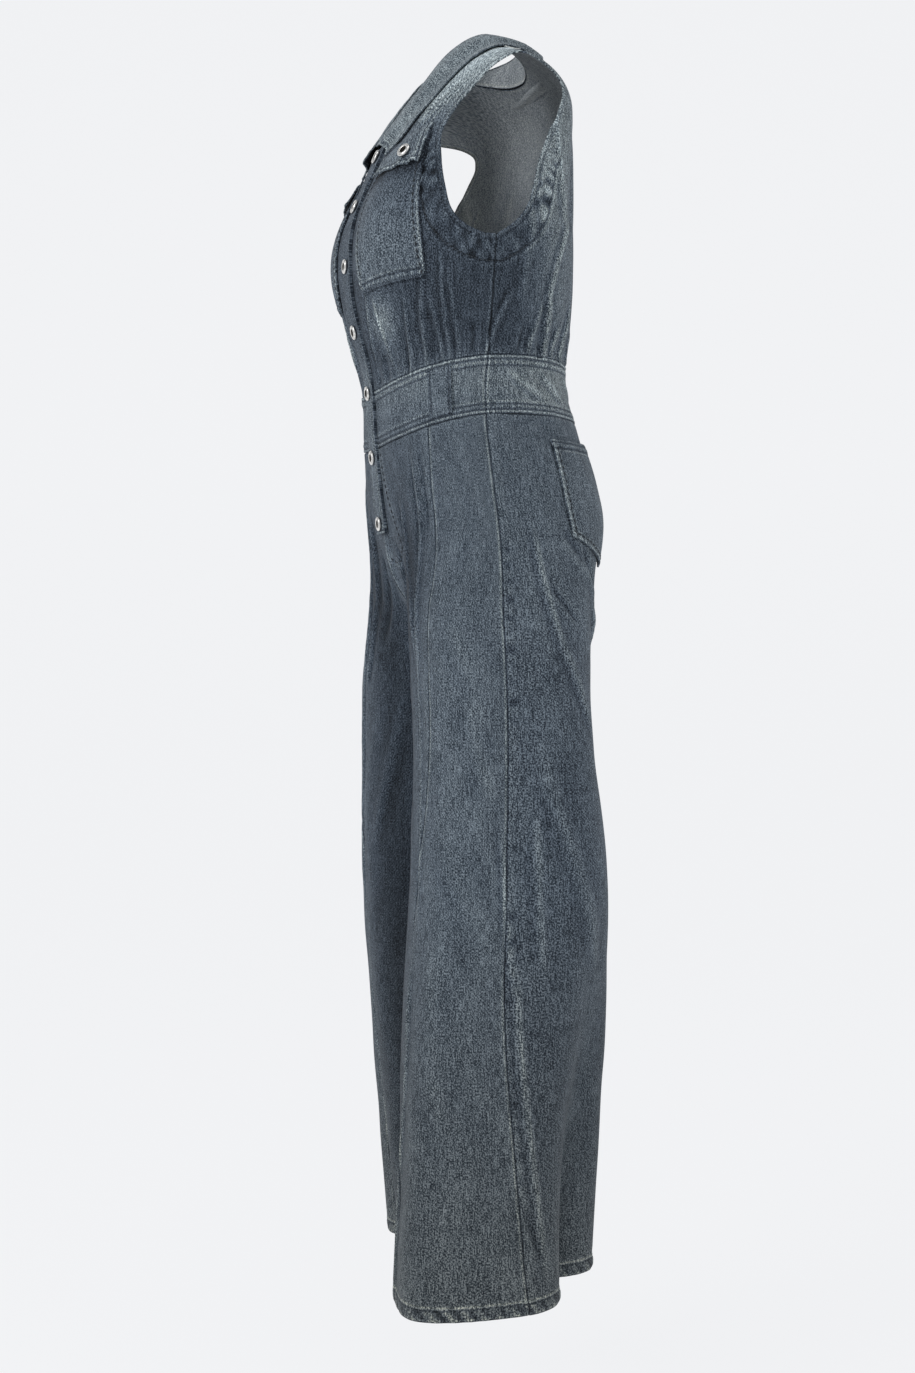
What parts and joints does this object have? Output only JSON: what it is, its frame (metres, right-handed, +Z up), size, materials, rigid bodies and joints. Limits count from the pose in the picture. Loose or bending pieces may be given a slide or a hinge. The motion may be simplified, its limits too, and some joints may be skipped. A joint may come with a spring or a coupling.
{
  "type": "wide-leg denim jumpsuit",
  "caption": "Sleeveless button-front denim jumpsuit with a shirt collar, chest pockets, gathered waist, shaped waistband and wide legs, filled out as worn.",
  "frame": {"origin": "where the wearer's shoulders carry it: midway between the neck ends of the two shoulder seams", "axes": "+Z up along the height, +X the wearer's left, -Y the front with the buttons"},
  "size_m": [0.371, 0.3347, 1.4309],
  "materials": {
    "denim": "washed twill, matt",
    "button_metal": "polished, slightly worn"
  },
  "bodies": {
    "root": {"bodice_front_left": "denim", "bodice_front_right": "denim", "bodice_back": "denim", "collar_stand": "denim", "collar_fall": "denim", "waistband_front_left": "denim", "waistband_front_right": "denim", "waistband_back": "denim", "leg_front_inner_left": "denim", "leg_front_inner_right": "denim", "leg_front_outer_left": "denim", "leg_front_outer_right": "denim", "leg_back_left": "denim", "leg_back_right": "denim", "placket": "denim", "placket_under": "denim", "waist_tab_left": "denim", "waist_tab_right": "denim", "hem_left": "denim", "hem_right": "denim", "chest_pocket_left": "denim", "chest_pocket_right": "denim", "chest_flap_left": "denim", "chest_flap_right": "denim", "back_pocket_left": "denim", "back_pocket_right": "denim", "button_1": "button_metal", "button_2": "button_metal", "button_3": "button_metal", "button_4": "button_metal", "button_5": "button_metal", "button_6": "button_metal", "button_7": "button_metal", "flap_button_left": "button_metal", "flap_button_right": "button_metal"}
  },
  "joints": []
}
